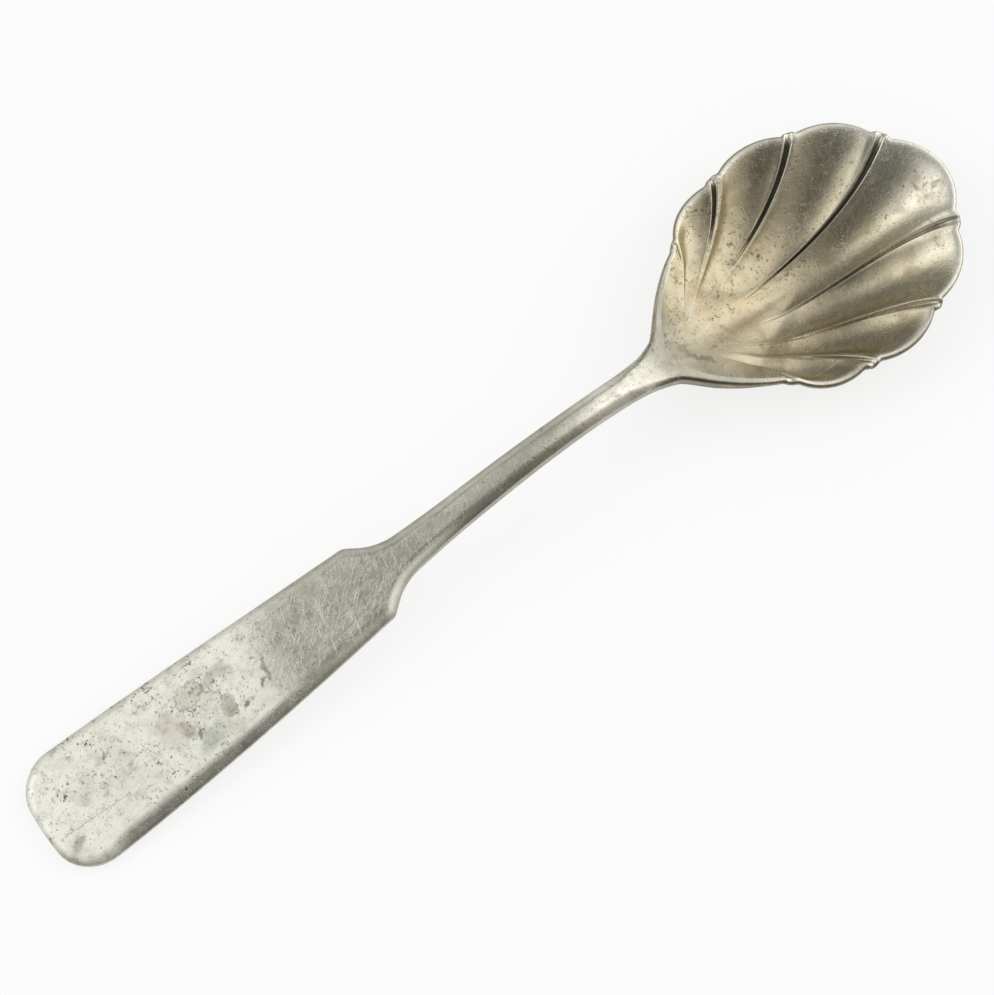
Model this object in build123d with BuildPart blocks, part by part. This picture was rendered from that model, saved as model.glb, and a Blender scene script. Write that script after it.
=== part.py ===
from build123d import *
import os
from math import asin, atan2, cos, hypot, radians, sin, tan

# A sugar spoon with a fiddle handle and a fluted shell bowl, in worn silver plate.
# The shell is pressed from sheet. The handle ends in a tongue that laps under the
# heel of the shell, and a thin layer of hard solder joins the two.
# Millimetres. The table is Z = 0, +X runs along the spoon to the tip of the bowl,
# and the origin is on the table under the middle of the spoon's length.

# Spoon on the table
overall_length = 150.0
rim_tilt = 1.2
worn_depth = 0.15

# Rim of the bowl: an ellipse that carries the flutes, then two straight shoulders
# that run from the first groove on each side to a round nose at the heel
rim_half_length = 20.7
rim_half_width = 17.3
heel_reach = 5.0
nose_radius = 3.0
tip_bulge = 1.7
lobe_bulge = 0.95
groove_bulge = 0.42
groove_half_width = 0.55
groove_angles = (27.5, 65.5, 100.5, 133.5)
groove_sweep = 32.0

# Depth and wall of the bowl, with the shares of the rim's size at which it is drawn
bowl_depth = 6.7
bowl_wall = 0.95
rim_land = 0.7
rim_edge = 0.7
deep_setback = 1.5
wall_curve = 1.6
level_sizes = (1.0, 0.86, 0.72, 0.58, 0.44, 0.3, 0.14)

# Handle in plan
fiddle_length = 51.8
fiddle_end_width = 17.1
fiddle_side_bow = 0.45
fiddle_end_bow = 1.0
end_corner_radius = 5.2
shoulder_width = 11.7
shoulder_run = 4.4
shoulder_blend = 4.0
stem_root_width = 5.9
stem_neck_width = 3.75
flare_radius = 7.0
horn_run = 0.8
tongue_width = 5.0
tongue_run = 2.4

# Handle from the side
end_thickness = 1.7
shoulder_thickness = 2.0
crest_thickness = 2.7
heel_thickness = 2.1
rest_run = 11.0
rest_lift = 0.8
handle_bow = 0.1
crest_rise = 2.6
crest_to_heel = 11.5
heel_rise = 0.05
tongue_stand = 0.5

# Bevel along the front and worn edges at the back of the handle
front_bevel = 1.2
bevel_drop = 0.45
back_round = 0.4

# Hard solder between the shell and the handle
solder_thickness = 0.15

# Two points this close are the same place
near = 0.001

# Places along the spoon
tip_x = overall_length / 2
end_x = -overall_length / 2
rim_centre_x = tip_x - tip_bulge - rim_half_length
deep_x = rim_centre_x - deep_setback
heel_x = rim_centre_x - rim_half_length - heel_reach
nose_outer_radius = nose_radius + rim_land
nose_centre_x = heel_x + nose_outer_radius
outer_depth = bowl_depth + bowl_wall


def level_depth(size, edge, depth):
    """Depth below the rim where a skin of the shell has this share of the rim's size."""
    return edge + (depth - edge) * (1 - size**2) ** wall_curve


# The rim's plane stands so high that the shell's lowest level is worn flat on the table
tilt = radians(rim_tilt)
lowest_level = level_depth(level_sizes[-1], rim_edge, outer_depth)
rim_height = lowest_level * cos(tilt) - worn_depth
rim = Plane(
    origin=(deep_x, 0, rim_height),
    x_dir=(cos(tilt), 0, sin(tilt)),
    z_dir=(-sin(tilt), 0, cos(tilt)),
)


def rim_z(x):
    """Height of the rim's plane above the table."""
    return rim_height + (x - deep_x) * tan(tilt)


def shell_z(x):
    """Height of the outside of the shell on its middle line, from the heel to the deep point."""
    size = (deep_x - x) / (deep_x - heel_x)
    return rim_z(x) - level_depth(size, rim_edge, outer_depth)


def ellipse_point(angle, grow, bulge):
    """A point of the rim ellipse, seen from the deep point, moved outwards by the bulge."""
    x = (rim_half_length + grow) * cos(angle)
    y = (rim_half_width + grow) * sin(angle)
    stretch = 1 + bulge / hypot(x, y)
    return rim_centre_x - deep_x + stretch * x, stretch * y


def rim_points(grow, sink):
    """The fluted rim from the first groove round the tip to the last: ends and crowns in turn.

    The grooves turn towards the heel by the sweep as they sink from the rim to the floor.
    """
    half_width = groove_half_width + rim_land + grow
    left = []
    for degrees in reversed(groove_angles):
        angle = radians(degrees)
        left.append(angle + sink * radians(groove_sweep) * sin(angle))
    angles = left + [-angle for angle in reversed(left)]
    points = []
    for i, angle in enumerate(angles):
        speed = hypot(rim_half_length * sin(angle), rim_half_width * cos(angle))
        reach = half_width / speed
        points.append(ellipse_point(angle + reach, grow, 0))
        points.append(ellipse_point(angle, grow, groove_bulge))
        points.append(ellipse_point(angle - reach, grow, 0))
        if i + 1 < len(angles):
            bulge = tip_bulge if i + 1 == len(left) else lobe_bulge
            points.append(ellipse_point((angle + angles[i + 1]) / 2, grow, bulge))
    return points


def shoulder_lean(start, centre_x, radius):
    """Angle from +X of the line from a point of the rim that just touches the nose."""
    run = hypot(start[0] - centre_x, start[1])
    return atan2(start[1], start[0] - centre_x) - asin(radius / run)


def shell_level(size, grow, depth):
    """One level of the shell: the rim drawn in to this share of its size about the deep point."""
    points = [(size * x, size * y) for x, y in rim_points(grow, 1 - size)]
    radius = size * (nose_outer_radius + grow)
    centre_x = size * (nose_centre_x - deep_x)
    lean = shoulder_lean(points[0], centre_x, radius)
    left_touch = (centre_x - radius * sin(lean), radius * cos(lean))
    right_touch = (left_touch[0], -left_touch[1])
    with BuildSketch(rim.offset(-depth)) as level:
        with BuildLine():
            for i in range(0, len(points) - 1, 2):
                ThreePointArc(*points[i : i + 3])
            Line(points[-1], right_touch)
            ThreePointArc(right_touch, (centre_x - radius, 0), left_touch)
            Line(left_touch, points[0])
        make_face()
    return level.sketch


def shell_form(grow, edge, depth, collar):
    """The solid inside one skin of the shell, with a straight collar on its top level."""
    with BuildPart() as form:
        loft([shell_level(size, grow, level_depth(size, edge, depth)) for size in level_sizes])
        mouth = form.faces().sort_by(Axis.Z)[-1]
        extrude(mouth, amount=collar)
    return form.part


# Bowl: the outer skin of the shell with its rim edge, hollowed and worn flat underneath
outer_form = shell_form(0, rim_edge, outer_depth, rim_edge)
hollow = shell_form(-rim_land, 0, bowl_depth, crest_rise + crest_thickness)
with BuildPart() as bowl:
    add(outer_form)
    add(hollow, mode=Mode.SUBTRACT)
    split(bisect_by=Plane.XY, keep=Keep.TOP)

# Half of the handle's plan: the stem flares into two horns that lie along the straight
# shoulders of the rim, and goes on under the heel as the tongue
side_x = end_x + fiddle_end_bow
end_y = fiddle_end_width / 2
shoulder_x = end_x + fiddle_length
shoulder_y = shoulder_width / 2
stem_x = shoulder_x + shoulder_run
neck_y = stem_neck_width / 2
lean = shoulder_lean(rim_points(0, 0)[0], nose_centre_x - deep_x, nose_outer_radius)
touch_x = nose_centre_x - nose_outer_radius * sin(lean)
touch_y = nose_outer_radius * cos(lean)
flare_x = touch_x - (touch_y - neck_y) / tan(lean)
flare_end = flare_radius * tan(lean / 2)
horn_x = flare_x + (flare_end + horn_run) * cos(lean)
horn_y = neck_y + (flare_end + horn_run) * sin(lean)
tongue_y = tongue_width / 2
tongue_root_x = horn_x + horn_y - tongue_y
tongue_x = tongue_root_x + tongue_run + tongue_y

# Middle line of the handle from the side, with the thickness at each place. It starts
# beyond the end of the handle, where the plan cuts it.
crest_x = heel_x - crest_to_heel
end_z = end_thickness / 2 - worn_depth
crest_z = rim_z(crest_x) + crest_rise
shoulder_share = (shoulder_x - end_x) / (crest_x - end_x)
shoulder_z = end_z + shoulder_share * (crest_z - end_z) + handle_bow
lap_x = (heel_x + tongue_x) / 2
lap_thickness = 2 * bowl_wall
stations = (
    (end_x - end_thickness, end_z, end_thickness),
    (end_x + rest_run, end_z + rest_lift, end_thickness),
    (shoulder_x, shoulder_z, shoulder_thickness),
    (crest_x, crest_z, crest_thickness),
    (heel_x, rim_z(heel_x) + heel_rise, heel_thickness),
    (lap_x, shell_z(lap_x) + lap_thickness / 2 - tongue_stand, lap_thickness),
    (tongue_x, shell_z(tongue_x) + lap_thickness / 2, lap_thickness),
)

# Handle before it is fitted to the shell: the plan cut to the side profile, its back
# edges rounded and its front edges bevelled, then worn flat under its end
with BuildPart() as handle_blank:
    with BuildSketch(Plane.XY.offset(-end_thickness)) as plan:
        corner = (side_x, end_y)
        side_middle = ((side_x + shoulder_x) / 2, (end_y + shoulder_y) / 2 + fiddle_side_bow)
        shoulder = (shoulder_x, shoulder_y)
        tongue_side = (tongue_x - tongue_y, tongue_y)
        with BuildLine():
            ThreePointArc(corner, side_middle, shoulder)
            Polyline(
                shoulder,
                (stem_x, stem_root_width / 2),
                (flare_x, neck_y),
                (horn_x, horn_y),
                (tongue_root_x, tongue_y),
                tongue_side,
            )
            TangentArc(tongue_side, (tongue_x, 0), tangent=(1, 0))
            mirror(about=Plane.XZ)
            ThreePointArc((side_x, -end_y), (end_x, 0), corner)
        make_face()
        for x, radius in (
            (side_x, end_corner_radius),
            (stem_x, shoulder_blend),
            (flare_x, flare_radius),
        ):
            fillet(plan.vertices().filter_by_position(Axis.X, x - near, x + near), radius)
    extrude(amount=end_thickness + crest_z + crest_thickness)
    with BuildSketch(Plane.XZ.offset(-fiddle_end_width)) as profile:
        with BuildLine():
            top = Spline([(x, z + thick / 2) for x, z, thick in stations])
            bottom = Spline([(x, z - thick / 2) for x, z, thick in stations])
            Line(top @ 0, bottom @ 0)
            Line(top @ 1, bottom @ 1)
        make_face()
    extrude(amount=2 * fiddle_end_width, mode=Mode.INTERSECT)
    back = handle_blank.faces().sort_by(SortBy.AREA)[-2:].sort_by(Axis.Z)[0]
    fillet(back.edges().filter_by_position(Axis.X, end_x, touch_x), back_round)
    front = handle_blank.faces().sort_by(SortBy.AREA)[-2:].sort_by(Axis.Z)[1]
    front_edges = front.edges().filter_by_position(Axis.X, end_x, touch_x)
    chamfer(front_edges, front_bevel, bevel_drop, reference=front)
    split(bisect_by=Plane.XY, keep=Keep.TOP)

# The shell's seat in the handle leaves room for the solder
seat = shell_form(
    solder_thickness,
    rim_edge + solder_thickness,
    outer_depth + solder_thickness,
    rim_edge + 2 * solder_thickness,
)
with BuildPart() as handle:
    add(handle_blank.part)
    add(seat, mode=Mode.SUBTRACT)
    add(hollow, mode=Mode.SUBTRACT)

# Solder fills the seat between the handle and the shell
with BuildPart() as solder_seam:
    add(handle_blank.part)
    add(seat, mode=Mode.INTERSECT)
    add(outer_form, mode=Mode.SUBTRACT)
    add(hollow, mode=Mode.SUBTRACT)

bowl.part.label = "bowl"
handle.part.label = "handle"
solder_seam.part.label = "solder_seam"
os.makedirs("parts", exist_ok=True)
export_step(bowl.part, "parts/bowl.step")
export_step(handle.part, "parts/handle.step")
export_step(solder_seam.part, "parts/solder_seam.step")
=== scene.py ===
# %% [markdown]
# A sugar spoon in worn silver plate: a flat fiddle handle with bevelled edges, soldered under
# the heel of a fluted shell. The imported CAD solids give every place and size. This lesson
# makes a finer shell and handle around them, then the finishes, the light and the camera.

from collections import namedtuple
from functools import lru_cache
from math import atan2, copysign, cos, degrees, hypot, pi, radians, sin, sqrt, tan

import bmesh
import bpy
import numpy as np
from mathutils import Matrix, Vector
from mathutils.bvhtree import BVHTree


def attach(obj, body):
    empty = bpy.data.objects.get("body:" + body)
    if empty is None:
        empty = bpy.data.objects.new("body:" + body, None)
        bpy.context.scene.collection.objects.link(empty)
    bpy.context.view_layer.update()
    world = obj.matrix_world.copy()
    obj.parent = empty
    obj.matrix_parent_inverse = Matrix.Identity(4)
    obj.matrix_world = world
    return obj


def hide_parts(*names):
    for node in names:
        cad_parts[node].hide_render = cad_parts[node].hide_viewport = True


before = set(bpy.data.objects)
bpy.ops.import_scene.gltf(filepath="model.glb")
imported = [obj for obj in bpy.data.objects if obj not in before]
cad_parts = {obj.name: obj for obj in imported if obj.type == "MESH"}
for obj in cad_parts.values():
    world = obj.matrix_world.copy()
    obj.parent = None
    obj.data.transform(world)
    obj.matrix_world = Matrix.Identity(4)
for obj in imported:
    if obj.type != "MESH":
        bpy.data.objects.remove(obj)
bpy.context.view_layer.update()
MM = 0.001

# %% [markdown]
# The rim of the shell is an ellipse that carries eight grooves, with a scallop between each
# pair of them, and two full shoulders that sweep in to the stem at the heel. It could be
# traced by hand as a curve. Here it is a function of one angle, from 0 at the tip to 180 at
# the heel, so that every ring of the shell can use it. All sizes are in millimetres.

# %% Values of the rim
rim_centre_x = 52.6
rim_half_length = 20.7
rim_half_width = 17.3
tip_bulge = 1.68
lip = 0.62

# A groove's place on the rim, the reach of its bead and channel to each side in degrees, the
# bulge of the scallop before it and of its bead, how deep it is against the deepest, the share
# of the way out where it starts, and how far its line bends and spreads on the way in
Groove = namedtuple("Groove", "angle bead channel bulge lump depth start bend spread")
grooves = (
    Groove(27.5, 4.6, 1.9, tip_bulge, 0.47, 1.0, 0.27, 3.4, 1.1),
    Groove(65.5, 2.9, 1.7, 0.9, 0.40, 0.95, 0.38, 2.6, 8.0),
    Groove(100.5, 3.5, 1.7, 0.93, 0.31, 0.9, 0.55, 2.9, 6.4),
    Groove(133.5, 3.2, 1.6, 0.85, 0.10, 0.45, 0.74, 3.0, 4.0),
)
last_angle = grooves[-1].angle + grooves[-1].bead

# The shoulder of the outer edge meets the stem at the heel, and the cavity ends in a round
# nose before it. A lead says how far a curve runs straight on from its start or its end.
heel_x = 26.9
heel_half_width = 3.3
heel_corner = 0.88
cavity_heel_x = 28.0
Shoulder = namedtuple("Shoulder", "start_lead end_lead")
outer_shoulder = Shoulder((-6.0, -3.0), (1.5, 0.7))
cavity_shoulder = Shoulder((-5.5, -3.2), (0.0, 2.9))
print("grooves on each side:", len(grooves))


# %% The rim as a function
def soft_step(low, high, value):
    """0 below low, 1 above high, and a smooth rise between them."""
    share = min(1.0, max(0.0, (value - low) / (high - low)))
    return share * share * (3 - 2 * share)


def heel_share(angle):
    """How far along the shoulder an angle is: 0 at the last groove and 1 at the heel."""
    return max(0.0, (abs(angle) - last_angle) / (180 - last_angle))


def shoulder_point(shoulder, start, end, share):
    """A point on the smooth curve of a shoulder."""
    lead = [a + b for a, b in zip(start, shoulder.start_lead)]
    trail = [a + b for a, b in zip(end, shoulder.end_lead)]
    left = 1 - share
    return [
        left**3 * a + 3 * left**2 * share * b + 3 * left * share**2 * c + share**3 * d
        for a, b, c, d in zip(start, lead, trail, end)
    ]


@lru_cache(maxsize=None)
def plain_rim(angle, inset):
    """A point of the rim without scallops: the outer edge, or the cavity's if there is an inset."""
    turn = radians(min(abs(angle), last_angle))
    x = rim_centre_x + (rim_half_length - inset) * cos(turn)
    y = (rim_half_width - inset) * sin(turn)
    share = heel_share(angle)
    if share > 0 and inset:
        x, y = shoulder_point(cavity_shoulder, (x, y), (cavity_heel_x, 0), share)
    elif share > heel_corner:
        x = heel_x
        y = heel_half_width * (1 - share) / (1 - heel_corner)
    elif share > 0:
        corner = (heel_x, heel_half_width)
        x, y = shoulder_point(outer_shoulder, (x, y), corner, share / heel_corner)
    return x, copysign(y, angle)


def scallop(angle):
    """How far the rim stands out beyond its plain line."""
    turn = abs(angle)
    edge = -grooves[0].angle + grooves[0].bead
    for groove in grooves:
        off = (turn - groove.angle) / groove.bead
        if abs(off) < 1:
            return groove.lump * (1 - off**2)
        if turn < groove.angle:
            far_edge = groove.angle - groove.bead
            across = 2 * (turn - edge) / (far_edge - edge) - 1
            return groove.bulge * (1 - across**2)
        edge = groove.angle + groove.bead
    return 0.0


@lru_cache(maxsize=None)
def rim_point(angle, inset):
    """A point of the scalloped rim."""
    x, y = plain_rim(angle, inset)
    stretch = 1 + scallop(angle) / hypot(x - rim_centre_x, y)
    return rim_centre_x + stretch * (x - rim_centre_x), stretch * y


print("tip and heel of the rim:", rim_point(0, 0), rim_point(180, 0))

# %% [markdown]
# From the rim the shell sinks to its deep point. Each level of it is the rim drawn in about
# that point, so the depth follows from the share of the rim's size, and near the heel from the
# direction too. A table of the plain rim's reach, worked out once, turns a place into its share.

# %% Depth of the shell
rim_tilt = radians(1.2)
rim_height = 7.28
deep_x = 51.1
bowl_depth = 6.7
bowl_wall = 0.95
wall_curve = 1.3
heel_wall_curve = 2.3
edge_height = 0.7
heel_edge_height = 1.7
# Ranges in which the edge thickens along the spoon, the wall eases in by heading, and the
# heel's climb reaches down the wall by share of the rim's size
edge_change = (37, 29)
heel_headings = (150, 174)
climb_sizes = (0.35, 1)
# The rim climbs to the stem in two stages, each with its start, end and height
climbs = ((47, 34, 1.0), (31, 25.5, 0.45))
table_steps = 720
table_angles = [180 * i / table_steps for i in range(table_steps + 1)]


def reach_table(inset):
    """Directions from the deep point, and the plain rim's reach in each."""
    points = [plain_rim(angle, inset) for angle in table_angles]
    headings = np.array([atan2(y, x - deep_x) for x, y in points])
    return headings, np.array([hypot(x - deep_x, y) for x, y in points])


reach_tables = {inset: reach_table(inset) for inset in (0.0, lip)}


def size_share(x, y, inset):
    """Share of the rim's size at this place: 0 at the deep point and 1 at the plain rim."""
    headings, reaches = reach_tables[inset]
    return hypot(x - deep_x, y) / float(np.interp(abs(atan2(y, x - deep_x)), headings, reaches))


def rim_plane(x):
    """Height of the rim's plane, which tilts a little up towards the tip."""
    return rim_height + (x - deep_x) * tan(rim_tilt)


def heel_rise(x):
    """The rim climbs to the stem at the heel."""
    return sum(height * soft_step(start, end, x) for start, end, height in climbs)


def lifted(x, size):
    """How far the climb at the heel lifts the shell at a share of the rim's size."""
    return heel_rise(x) * soft_step(*climb_sizes, size)


def inside_depth(x, y, size):
    """Depth of the inside at a share of the rim's size: the wall eases in gently at the heel."""
    heel = soft_step(*heel_headings, degrees(abs(atan2(y, x - deep_x))))
    return bowl_depth * (1 - size**2) ** (wall_curve + (heel_wall_curve - wall_curve) * heel)


def edge_thickness(x):
    """Height of the shell's outer edge, which thickens towards the stem."""
    return edge_height + (heel_edge_height - edge_height) * soft_step(*edge_change, x)


def outside_depth(x, size):
    """Depth of the outside at a share of the rim's size."""
    edge = edge_thickness(x)
    return edge + (bowl_depth + bowl_wall - edge) * (1 - size**2) ** wall_curve


print("share at the tip:", round(size_share(*rim_point(0, 0), 0.0), 3))

# %% [markdown]
# The grooves of the real shell fan out from the heel and bend on their way to the rim. A mesh
# whose lines cross them at a slant would need far more faces to stay sharp. So the mesh is
# spun about a pole at the heel, and its lines are bent and spread as the grooves are: each
# groove then runs along its own lines, from the pole out to its bead on the rim.

# %% Lines of the fan
pole_x = 31.0
bend_gain = 6.75


def heading_of(angle):
    """Direction of a rim point from the pole, in degrees."""
    x, y = rim_point(angle, 0.0)
    return degrees(atan2(y, x - pole_x))


bend_headings = np.array([0] + [heading_of(groove.angle) for groove in grooves] + [180])
bends = np.array([0] + [groove.bend for groove in grooves] + [0])
spreads = np.array([0] + [groove.spread for groove in grooves] + [0])


@lru_cache(maxsize=None)
def fan_line(angle, inset):
    """Heading, bend, spread and length of the line of the fan that ends at this angle."""
    x, y = rim_point(angle, inset)
    heading = degrees(atan2(y, x - pole_x))
    bend = float(np.interp(abs(heading), bend_headings, bends))
    spread = float(np.interp(abs(heading), bend_headings, spreads))
    return heading, bend, spread, hypot(x - pole_x, y)


def fan_point(angle, share, inset):
    """A place at this share of the way along a line of the fan."""
    heading, bend, spread, length = fan_line(angle, inset)
    side = abs(heading) - bend * bend_gain * share**2 * (1 - share) + spread * (1 - share) ** 3
    turned = radians(copysign(side, heading))
    return pole_x + share * length * cos(turned), share * length * sin(turned)


lobe_steps = 34
ridge_steps = 3
channel_steps = 8
shoulder_steps = 54
ridge_reach = 1.8


def half_columns():
    """Angles of the mesh's lines from the tip to the heel, closest together in the grooves."""
    knots = []
    start = 0.0
    for i, groove in enumerate(grooves):
        steps = lobe_steps // 2 if i == 0 else lobe_steps
        for to, count in (
            (groove.angle - ridge_reach * groove.channel, steps),
            (groove.angle - groove.channel, ridge_steps),
            (groove.angle + groove.channel, channel_steps),
            (groove.angle + ridge_reach * groove.channel, ridge_steps),
        ):
            knots += [start + (to - start) * j / count for j in range(count)]
            start = to
    corner = last_angle + heel_corner * (180 - last_angle)
    knots += [start + (corner - start) * j / shoulder_steps for j in range(shoulder_steps)]
    heel_steps = shoulder_steps // 5
    return knots + [corner + (180 - corner) * j / heel_steps for j in range(heel_steps)]


left_columns = half_columns()
columns = left_columns + [180.0] + [-angle for angle in reversed(left_columns[1:])]
print("lines of the fan:", len(columns))

# %% [markdown]
# Flutes and grooves are pressed into the sheet: each scallop is a shallow trough, and each
# groove is a narrow round channel between two sharp ridges. Both fade out towards the heel.

# %% Relief of the shell
flute_depth = 0.9
flute_rise = (0.2, 0.8)
flute_fade = (0.86, 1)
flute_left_at_rim = 0.3
channel_depth = 0.5
channel_fade = (0.95, 1)
channel_left_at_rim = 0.55
groove_fade = 0.32
ridge_height = 0.12


def groove_strength(groove, share):
    """How fully a groove is formed at this share of the way from the pole to the rim."""
    at_rim = 1 - (1 - channel_left_at_rim) * soft_step(*channel_fade, share)
    return groove.depth * at_rim * soft_step(groove.start, groove.start + groove_fade, share)


def relief(angle, share):
    """Height of the pressed pattern and how far into a channel or up a ridge the place is."""
    turn = abs(angle)
    flute = flute_depth * soft_step(*flute_rise, share)
    flute *= 1 - (1 - flute_left_at_rim) * soft_step(*flute_fade, share)
    edge = -grooves[0].angle + ridge_reach * grooves[0].channel
    for groove in grooves:
        off = abs(turn - groove.angle) / groove.channel
        strength = groove_strength(groove, share)
        if off < 1:
            height = ridge_height - (channel_depth + ridge_height) * (1 - off**2)
            return strength * height, strength * (1 - off**2), strength * off**4
        if off < ridge_reach:
            up = 1 - (off - 1) / (ridge_reach - 1)
            return strength * ridge_height * up, 0.0, strength * up
        if turn < groove.angle:
            far_edge = groove.angle - ridge_reach * groove.channel
            across = 2 * (turn - edge) / (far_edge - edge) - 1
            return -flute * (1 - across**2), 0.0, 0.0
        edge = groove.angle + ridge_reach * groove.channel
    return 0.0, 0.0, 0.0


@lru_cache(maxsize=None)
def rim_size(angle, inset):
    """Size of the scalloped rim against the plain one."""
    return size_share(*rim_point(angle, inset), inset)


def shell_place(angle, share, inset):
    """A place on the inside, or at no inset on the outside, with its channel and ridge amounts."""
    x, y = fan_point(angle, share, inset)
    size = size_share(x, y, inset) / (1 + (rim_size(angle, inset) - 1) * share**3)
    size = min(1.0, size)
    sunk = inside_depth(x, y, size) if inset else outside_depth(x, size)
    height, channel, ridge = relief(angle, share)
    z = rim_plane(x) - sunk + height + lifted(x, size)
    return (x, y, z), channel, ridge


print("middle of the tip lobe:", shell_place(0, 0.8, lip))

# %% [markdown]
# The front edge of the whole spoon is eased: a broad bevel along the fiddle, a steeper one
# along the stem, and a fine rounding along the lip of the shell. One function of the place
# along the spoon gives its width and fall, so that the stem runs into the lip without a step.

# %% Eased front edge
Ease = namedtuple("Ease", "x width fall power")
eases = (
    Ease(-75, 1.1, 0.45, 1.8),
    Ease(-67, 2.2, 0.60, 1.9),
    Ease(-45, 1.8, 0.55, 1.6),
    Ease(-26, 1.7, 0.55, 1.2),
    Ease(-19, 1.4, 0.70, 1.1),
    Ease(-10, 1.4, 0.70, 1.2),
    Ease(20, 1.35, 0.70, 1.4),
    Ease(26.9, 0.55, 0.36, 2.0),
    Ease(37, 0.32, 0.24, 2.0),
)
ease_x, ease_width, ease_fall, ease_power = (np.array(part) for part in zip(*eases))


def bevel_width(x):
    """Width of the eased edge at this place along the spoon."""
    return float(np.interp(x, ease_x, ease_width))


def edge_fall(x, inset):
    """How far the front has fallen at this distance in from its outer edge."""
    left = 1 - min(1.0, max(0.0, inset) / bevel_width(x))
    return float(np.interp(x, ease_x, ease_fall)) * left ** float(np.interp(x, ease_x, ease_power))


print("fall of the edge at the fiddle, stem and lip:", [edge_fall(x, 0) for x in (-45, 5, 60)])

# %% [markdown]
# The shell starts as one line of edges: out along the inside, over the lip, and back along the
# outside. Spinning that line a full turn gives a closed saucer with a regular mesh. Each
# vertex then moves from its place in the saucer to its place in the shell. Numbers for its
# channel, ridge, lip, edge and bevel go with it, which the finish uses for tarnish and wear,
# and for painted shade and painted highlights.

# %% Tools for a piece
same_place = 1e-5


def spin_form(line, steps):
    """A closed form spun about Z from a line of (radius, height) points that ends on the axis."""
    form = bmesh.new()
    points = [form.verts.new((radius, 0, height)) for radius, height in line]
    edges = [form.edges.new(pair) for pair in zip(points, points[1:])]
    bmesh.ops.spin(
        form, geom=points + edges, cent=(0, 0, 0), axis=(0, 0, 1), angle=2 * pi, steps=steps,
        use_merge=True,
    )
    bmesh.ops.remove_doubles(form, verts=form.verts[:], dist=same_place)
    return form


def face_outward(form):
    """Turns every face of a closed form outwards, which makes its signed volume positive."""
    bmesh.ops.recalc_face_normals(form, faces=form.faces[:])
    if form.calc_volume(signed=True) < 0:
        bmesh.ops.reverse_faces(form, faces=form.faces[:])


def placed(name, data):
    """A new object in the scene for a mesh, a lamp or a camera."""
    made = bpy.data.objects.new(name, data)
    bpy.context.scene.collection.objects.link(made)
    return made


def as_piece(form, name):
    """Turns a mesh in millimetres into a smooth object in metres that rides on the spoon."""
    bmesh.ops.scale(form, vec=(MM, MM, MM), verts=form.verts[:])
    mesh = bpy.data.meshes.new(name)
    form.to_mesh(mesh)
    form.free()
    for polygon in mesh.polygons:
        polygon.use_smooth = True
    piece = placed(name, mesh)
    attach(piece, "root")
    return piece


print("tools ready")

# %% Marks for the finish
side_change = (0, 1.5)
edge_reach = 0.7
bevel_fade = (1.0, 0.5)
left_edge_shade_share = 0.7
joint_width = 1e-3


def bevel_side(y):
    """1 on the right side of the spoon and -1 on the left, with a soft change between them."""
    return copysign(soft_step(*side_change, abs(y)), -y)


def edge_mark(inset_share, on_right):
    """1 at the outer edge, falling inwards over the bevel: tarnish and painted shade, less on the
    lit left side.
    """
    return soft_step(edge_reach, 0.0, inset_share) * (1.0 if on_right else left_edge_shade_share)


def bevel_mark(inset_share, y):
    """1 on the bevel of the right side and -1 on the left one, falling to 0 at its inner end."""
    return soft_step(*bevel_fade, inset_share) * bevel_side(y)


def sharpen(form, x):
    """Makes the edges at this place along the spoon sharp, so that a butt joint stays flat."""
    for edge in form.edges:
        if all(abs(vert.co.x - x) < joint_width for vert in edge.verts):
            edge.smooth = False


print("edge mark at the left edge:", edge_mark(0, False))

# %% Spin the shell
inner_rings = 76
outer_rings = 40
lip_steps = (0.1, 0.26, 0.44, 0.6, 0.74, 0.83, 0.89, 0.93, 0.97, 1.0)
lip_levels = len(lip_steps) + 1
inside = [(i / inner_rings, 0) for i in range(inner_rings + 1)]
over_lip = [(1.0, i / lip_levels) for i in range(1, lip_levels)]
outside = [(i / outer_rings, 1) for i in range(outer_rings, -1, -1)]
shell = spin_form(inside + over_lip + outside, len(columns))
print("saucer:", len(shell.faces), "faces")


# %% Shape the shell
def lip_place(angle, across):
    """A place on the lip, from the cavity at 0 to the edge at 1, and its share of the bevel."""
    inner = Vector(shell_place(angle, 1, lip)[0])
    outer = Vector(shell_place(angle, 1, 0.0)[0])
    outer.z += edge_thickness(outer.x)
    place = inner.lerp(outer, across)
    to_edge = (1 - across) * hypot(outer.x - inner.x, outer.y - inner.y)
    if heel_share(angle) > heel_corner:
        to_edge = heel_half_width - abs(place.y)
    place.z -= edge_fall(place.x, to_edge)
    return place, to_edge / bevel_width(place.x)


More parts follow.
